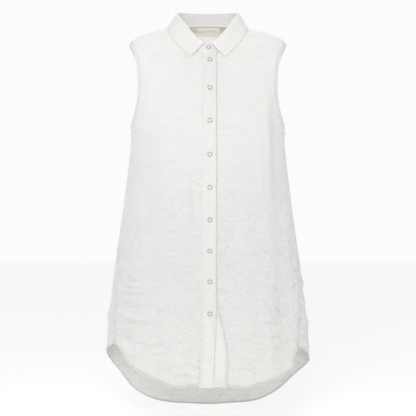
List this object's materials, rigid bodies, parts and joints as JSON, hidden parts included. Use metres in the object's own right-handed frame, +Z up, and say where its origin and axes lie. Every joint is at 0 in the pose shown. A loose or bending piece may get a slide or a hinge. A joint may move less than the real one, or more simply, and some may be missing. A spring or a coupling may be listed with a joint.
{
  "type": "sleeveless button-up long shirt",
  "caption": "Sleeveless off-white linen button-up shirt of tunic length, with a turned-down collar and a longer curved back hem, filled out as worn.",
  "frame": {"origin": "midway between the wearer's shoulders, level with the neck ends of the shoulder seams, where the wearer holds the garment up", "axes": "+Z up along the body, +Y towards the back, so the buttoned front faces -Y, +X towards the wearer's left"},
  "size_m": [0.5089, 0.2549, 1.0043],
  "materials": {
    "linen": "washed plain-weave linen with slubs and soft creases, matte",
    "linen_trim": "doubled and topstitched plain-weave linen, matte",
    "label": "bare woven cotton tape, cream",
    "button": "pearly dished shirt button, soft gloss"
  },
  "bodies": {
    "root": {"front_right": "linen", "front_left": "linen", "back": "linen", "placket": "linen_trim", "button_band": "linen_trim", "collar_stand": "linen_trim", "collar_fall": "linen_trim", "armhole_binding_right": "linen_trim", "armhole_binding_left": "linen_trim", "neck_label": "label", "size_tab": "label", "button_01": "button", "button_02": "button", "button_03": "button", "button_04": "button", "button_05": "button", "button_06": "button", "button_07": "button", "button_08": "button", "button_09": "button", "button_10": "button"}
  },
  "joints": []
}
